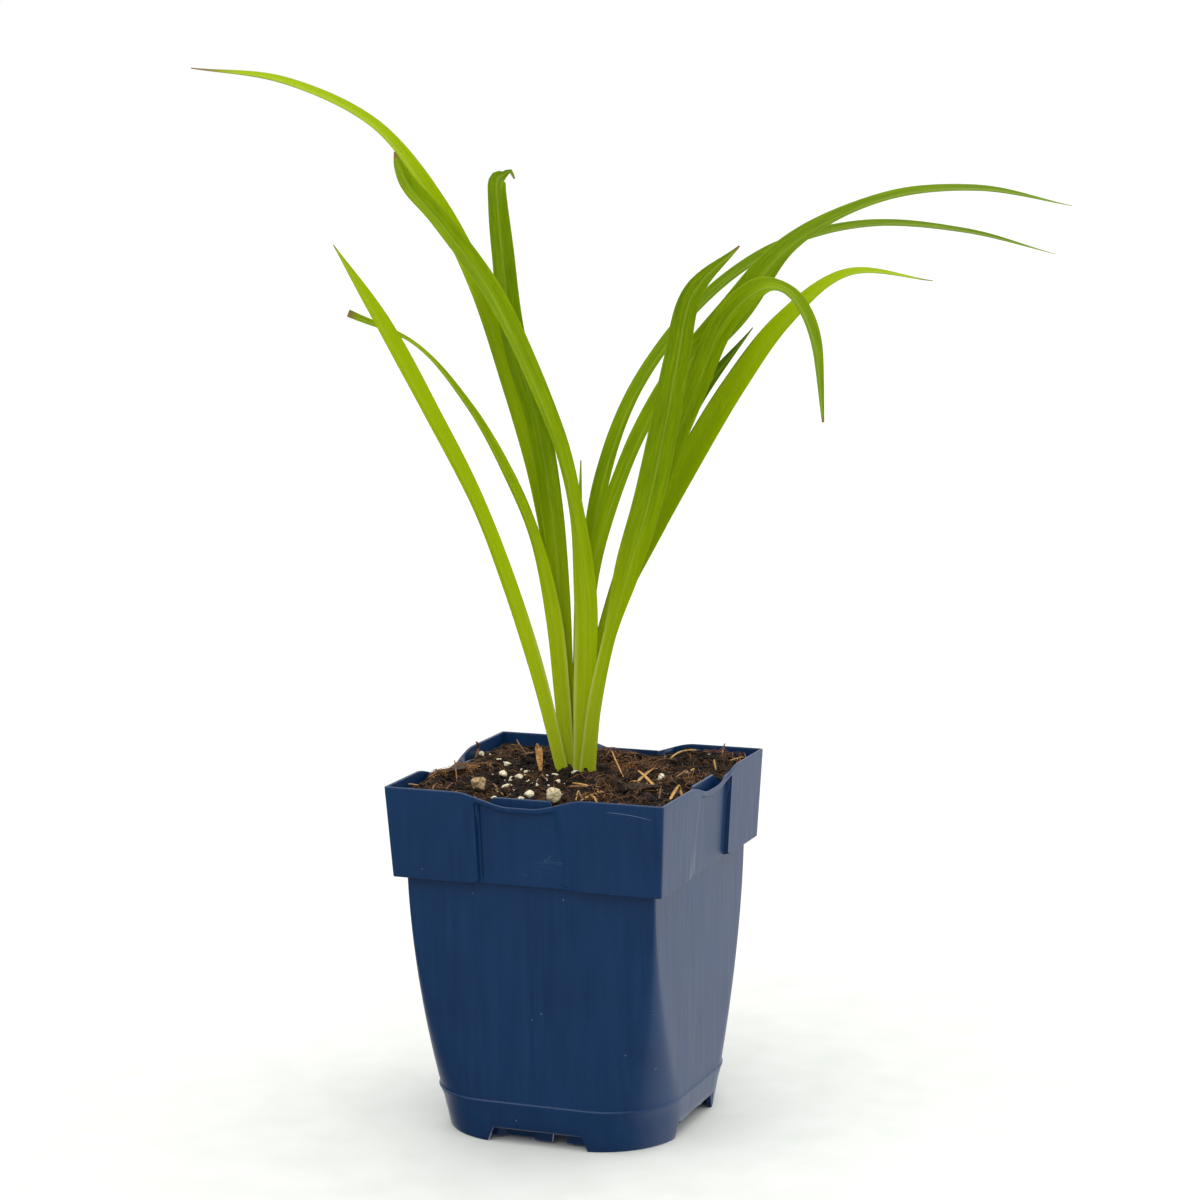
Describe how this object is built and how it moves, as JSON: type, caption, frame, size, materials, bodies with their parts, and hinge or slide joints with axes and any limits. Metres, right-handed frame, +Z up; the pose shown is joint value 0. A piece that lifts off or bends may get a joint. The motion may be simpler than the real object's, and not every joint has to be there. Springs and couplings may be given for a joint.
{
  "type": "potted daylily",
  "caption": "Young daylily clump of arching strap leaves growing in peat mix in a square nursery pot with corner feet.",
  "frame": {"origin": "middle of the ground covered by the whole plant's bounding box, on the surface that the pot stands on; the pot's own middle is at x -0.0176, y -0.0191", "axes": "+Z up, the pot's faces along X and Y with its front at -Y; the leaf fan's broad side faces about 22 degrees from -Y towards +X"},
  "size_m": [0.2406, 0.1298, 0.3244],
  "materials": {
    "pot_plastic": "moulded dark blue polypropylene, satin",
    "soil": "dark loose peat mix",
    "crown": "pale fleshy crown and roots",
    "leaf": "fresh yellow-green strap leaf, satin with parallel veins",
    "dry_leaf": "dry brown leaf",
    "pumice": "rough tan pumice",
    "perlite": "rough cream perlite",
    "bark": "weathered bark chip"
  },
  "bodies": {
    "root": {"nursery_pot": "pot_plastic", "peat_soil": "soil", "crown_and_roots": "crown", "leaf_left_low": "leaf", "leaf_left_thin": "leaf", "leaf_left_long": "leaf", "leaf_upright": "leaf", "leaf_centre_front": "leaf", "leaf_young_centre": "leaf", "leaf_right_back": "leaf", "leaf_right_top": "leaf", "leaf_front_broad": "leaf", "leaf_right_reaching": "leaf", "leaf_right_drooping": "leaf", "leaf_right_short": "leaf", "dry_leaf_stub": "dry_leaf", "pumice_stone_left": "pumice", "pumice_stone_front": "pumice", "perlite_grain_1": "perlite", "perlite_grain_2": "perlite", "perlite_grain_3": "perlite", "perlite_grain_4": "perlite", "perlite_grain_5": "perlite", "bark_chip_1": "bark", "bark_chip_2": "bark", "bark_chip_3": "bark", "bark_chip_4": "bark"}
  },
  "joints": []
}
